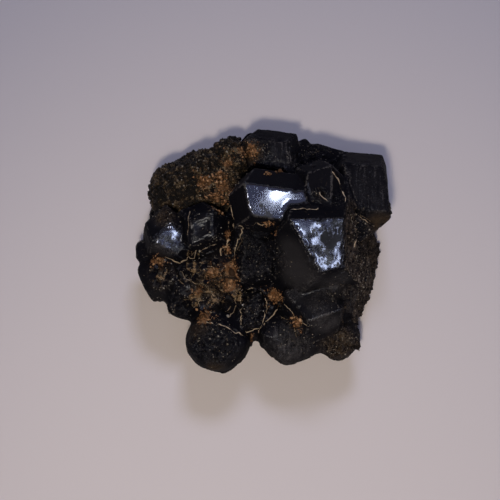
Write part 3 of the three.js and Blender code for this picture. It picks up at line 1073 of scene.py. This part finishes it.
class GARNET_OT_earth(bpy.types.Operator):
    """Packs crumbs of rusty earth into the grooves"""

    bl_idname = "garnet.earth"
    bl_label = "Earth"

    def execute(self, context):
        settings = context.scene.garnet_earth
        tree = surface_tree()
        parts = scattered(tree, EARTH, 62, settings.crumb, 31, gaps=-0.10)
        parts += scattered(tree, ROCK_EARTH, 40, settings.crumb, 32, gaps=0.2)
        stops = [(0.0, (0.02, 0.013, 0.009)), (0.30, settings.dark), (0.66, settings.ochre),
                 (1.0, settings.cream)]
        material = crumb_material("dry_earth", stops, 0.75)
        finished(joined(parts), "earth_crumbs", material)
        return {"FINISHED"}


class GARNET_OT_seams(bpy.types.Operator):
    """Lays thin pale films in the seams between the crystals"""

    bl_idname = "garnet.seams"
    bl_label = "Seams"

    def execute(self, context):
        settings = context.scene.garnet_earth
        tree = surface_tree()
        parts = [film(tree, *line) for line in seam_lines(Solid(GARNET))]
        stops = [(0.0, (0.10, 0.065, 0.038)), (0.4, settings.seam), (1.0, (0.55, 0.45, 0.34))]
        material = crumb_material("seam_film", stops, 0.6, 0.05)
        finished(joined(parts), "seam_films", material)
        return {"FINISHED"}


class GARNET_OT_grains(bpy.types.Operator):
    """Sets pale specks and small garnets into the rough places"""

    bl_idname = "garnet.grains"
    bl_label = "Grains"

    def execute(self, context):
        settings = context.scene.garnet_earth
        tree = surface_tree()
        specks = scattered(tree, SPECKLED, 9.0, settings.speck, 71, spread=0.5, gaps=-0.1)
        stops = [(0.0, (0.04, 0.032, 0.026)), (0.4, (0.15, 0.12, 0.09)), (0.75, (0.30, 0.27, 0.23)),
                 (1.0, (0.48, 0.45, 0.41))]
        material = crumb_material("pale_grain", stops, 0.45)
        finished(joined(specks), "pale_specks", material)
        druse = scattered(tree, GRANULAR, 0.5, 1.0, 72, dodecahedron, 0.5, (-0.42, -0.25))
        material = bpy.data.materials["garnet_faces"]
        piece = finished(joined(druse), "small_garnets", material)
        piece.data.shade_flat()
        return {"FINISHED"}


class GARNET_OT_stage(bpy.types.Operator):
    """Sets the floor, the lights and the camera"""

    bl_idname = "garnet.stage"
    bl_label = "Stage"

    # Places in millimetres, and the directions in which the lights stand.
    AIM = Vector((-2.54, -0.5, 12)) * MM
    MIDDLE = Vector((0, 0, 15))
    TOP_FACE = Vector((2.9, 7.3, 24.0))
    LARGE_FACE = Vector((10.5, -2.8, 23.8))
    KEY = (-0.08, -0.39, 0.92)
    FILL = (0.10, 0.72, 0.69)
    WINDOW = (0.229, -0.285, 0.930)
    PANEL = (0.388, -0.322, 0.866)
    # How far off each light stands, and its width and height, in metres.
    GLINT_LIGHT = 0.30, (0.055, 0.040)
    FILL_LIGHT = 0.80, (0.26, 0.14)
    PANE_LIGHT = 0.55, (0.0042, 0.0058)
    PANEL_LIGHT = 0.50, (0.024, 0.056)
    SKY_LIGHT = 0.90, (0.50, 0.50)
    PANE_STEP = 0.0048
    GLINT_POWER = 0.110

    def floor(self, settings):
        bm = bmesh.new()
        bmesh.ops.create_grid(bm, x_segments=8, y_segments=8, size=1.2)
        mesh = bpy.data.meshes.new("floor")
        bm.to_mesh(mesh)
        bm.free()
        shader = Shader("paper")
        fibre = shader.noise(0.6, 3.0)
        mesh.materials.append(shader.surface({
            "Base Color": settings.floor,
            "Roughness": 0.75,
            "Specular IOR Level": 0.25,
            "Normal": shader.bump(fibre, 0.02, 0.3),
        }))
        placed("floor", mesh)

    def light(self, name, target, towards, away, size, power, tint, shows=True):
        """An area light that faces a place in millimetres; shows says whether glossy faces mirror it."""
        lamp = bpy.data.lights.new(name, "AREA")
        lamp.shape = "RECTANGLE"
        lamp.size, lamp.size_y = size
        lamp.energy = power
        lamp.color = tint
        holder = placed(name, lamp)
        facing = Vector(towards).normalized()
        holder.location = target * MM + facing * away
        holder.rotation_euler = (-facing).to_track_quat("-Z", "Y").to_euler()
        holder.visible_glossy = shows
        return holder

    def key_light(self, settings):
        """The main lamp: a soft spot that falls off towards the back of the floor."""
        lamp = bpy.data.lights.new("key", "SPOT")
        lamp.energy = settings.key
        lamp.color = (1.0, 0.88, 0.67)
        lamp.shadow_soft_size = 0.015
        lamp.spot_size = math.radians(50)
        lamp.spot_blend = 1.0
        holder = placed("key", lamp)
        holder.location = self.MIDDLE * MM + Vector(self.KEY).normalized() * 0.30
        holder.rotation_euler = (Vector((0, -0.050, 0)) - holder.location).to_track_quat("-Z", "Y").to_euler()
        holder.visible_glossy = False

    def execute(self, context):
        settings = context.scene.garnet_stage
        self.floor(settings)
        self.key_light(settings)
        self.light("glint", self.MIDDLE, self.KEY, *self.GLINT_LIGHT, self.GLINT_POWER, (1.0, 0.95, 0.88))
        self.light("fill", self.MIDDLE, self.FILL, *self.FILL_LIGHT, settings.fill, (0.70, 0.76, 1.0), False)
        for pane in (-1, 0, 1):
            holder = self.light(f"pane_{pane + 1}", self.TOP_FACE, self.WINDOW, *self.PANE_LIGHT,
                                settings.window, (0.92, 0.96, 1.0))
            holder.location += holder.rotation_euler.to_matrix() @ Vector((self.PANE_STEP * pane, 0, 0))
        self.light("panel", self.LARGE_FACE, self.PANEL, *self.PANEL_LIGHT, settings.panel, (0.84, 0.90, 1.0))
        self.light("sky", self.TOP_FACE, self.WINDOW, *self.SKY_LIGHT, settings.sky, (0.54, 0.60, 1.0))
        world = bpy.data.worlds.new("room")
        context.scene.world = world
        world.use_nodes = True
        background = world.node_tree.nodes["Background"]
        background.inputs["Color"].default_value = (0.88, 0.79, 1.0, 1)
        background.inputs["Strength"].default_value = 0.05
        camera = bpy.data.cameras.new("camera")
        camera.lens = 88.1
        camera.clip_start = 0.01
        holder = placed("camera", camera)
        back = Vector((0, -math.cos(settings.elevation), math.sin(settings.elevation)))
        holder.location = self.AIM + back * settings.distance
        holder.rotation_euler = (-back).to_track_quat("-Z", "Y").to_euler()
        context.scene.camera = holder
        context.scene.view_settings.view_transform = "Standard"
        return {"FINISHED"}


class GARNET_PT_panel(bpy.types.Panel):
    """Lists the steps in the order in which they run"""

    bl_idname = "GARNET_PT_panel"
    bl_label = "Garnet Cluster"
    bl_space_type = "VIEW_3D"
    bl_region_type = "UI"
    bl_category = "Garnet"

    def draw(self, context):
        for step in STEPS:
            self.layout.operator(step.bl_idname)


SETTINGS = {
    "garnet_crystals": GarnetSettings,
    "garnet_rock": RockSettings,
    "garnet_earth": EarthSettings,
    "garnet_stage": StageSettings,
}
STEPS = (
    GARNET_OT_stage, GARNET_OT_crystals, GARNET_OT_rock,
    GARNET_OT_earth, GARNET_OT_seams, GARNET_OT_grains,
)


def register():
    for group in (*SETTINGS.values(), *STEPS, GARNET_PT_panel):
        bpy.utils.register_class(group)
    for name, group in SETTINGS.items():
        setattr(bpy.types.Scene, name, PointerProperty(type=group))


def unregister():
    for name in SETTINGS:
        delattr(bpy.types.Scene, name)
    for group in reversed((*SETTINGS.values(), *STEPS, GARNET_PT_panel)):
        bpy.utils.unregister_class(group)


def main():
    register()
    bpy.ops.garnet.stage()
    bpy.ops.garnet.crystals()
    bpy.ops.garnet.rock()
    bpy.ops.garnet.earth()
    bpy.ops.garnet.seams()
    bpy.ops.garnet.grains()


if __name__ == "__main__":
    main()
